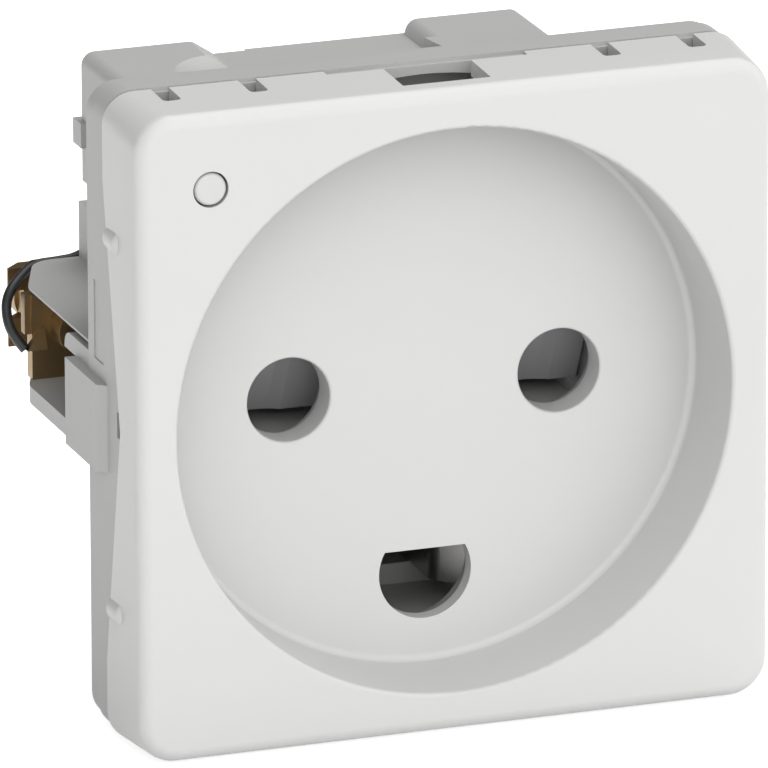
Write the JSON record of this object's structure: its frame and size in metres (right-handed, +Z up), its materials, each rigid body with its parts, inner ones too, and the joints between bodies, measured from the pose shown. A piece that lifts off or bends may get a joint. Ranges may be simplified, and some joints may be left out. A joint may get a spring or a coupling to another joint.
{
  "type": "wall socket",
  "caption": "Clip-in wall socket module: square white cover with a round plug recess, shuttered pin holes, an earth hole and a signal lamp, on a base with screw terminals.",
  "frame": {"origin": "centre of the round recess's floor, the face that a plug's body comes to rest on", "axes": "X right and Z up as seen from the front; -Y points out of the face, +Y into the wall"},
  "size_m": [0.046, 0.0328, 0.0446],
  "materials": {
    "white_plastic": "satin moulded white",
    "grey_white_plastic": "matt moulded grey-white",
    "grey_plastic": "smooth grey, low friction",
    "spring_steel": "drawn spring wire",
    "brass": "stamped and turned, slightly dull",
    "nickel_plate": "nickel plated strip",
    "clear_plastic": "clear moulded light guide",
    "bulb_glass": "clear glow lamp",
    "resistor_body": "lacquered",
    "black_insulation": "smooth black insulation"
  },
  "bodies": {
    "housing": {"front_cover": "white_plastic", "base_housing": "grey_white_plastic", "shutter_frame": "grey_white_plastic", "shutter_spring": "spring_steel", "line_contact": "brass", "neutral_contact": "brass", "earth_contact": "nickel_plate", "lamp_lens": "clear_plastic", "lamp_bulb": "bulb_glass", "lamp_resistor": "resistor_body", "lamp_lead_left": "black_insulation", "lamp_lead_right": "black_insulation", "line_terminal": "brass", "line_clamp_plate": "brass", "line_screw": "brass", "neutral_terminal": "brass", "neutral_clamp_plate": "brass", "neutral_screw": "brass", "earth_terminal": "brass", "earth_clamp_plate": "brass", "earth_screw": "brass"},
    "shutter": {"shutter": "grey_plastic"}
  },
  "joints": [
    {"name": "shutter_slide", "type": "slide", "parent": "housing", "child": "shutter", "axis": [0, 0, 1], "range_m": [0, 0.0062], "stiffness_N_per_m": 100, "springref_m": -0.006, "deforming": ["shutter_spring"]}
  ]
}
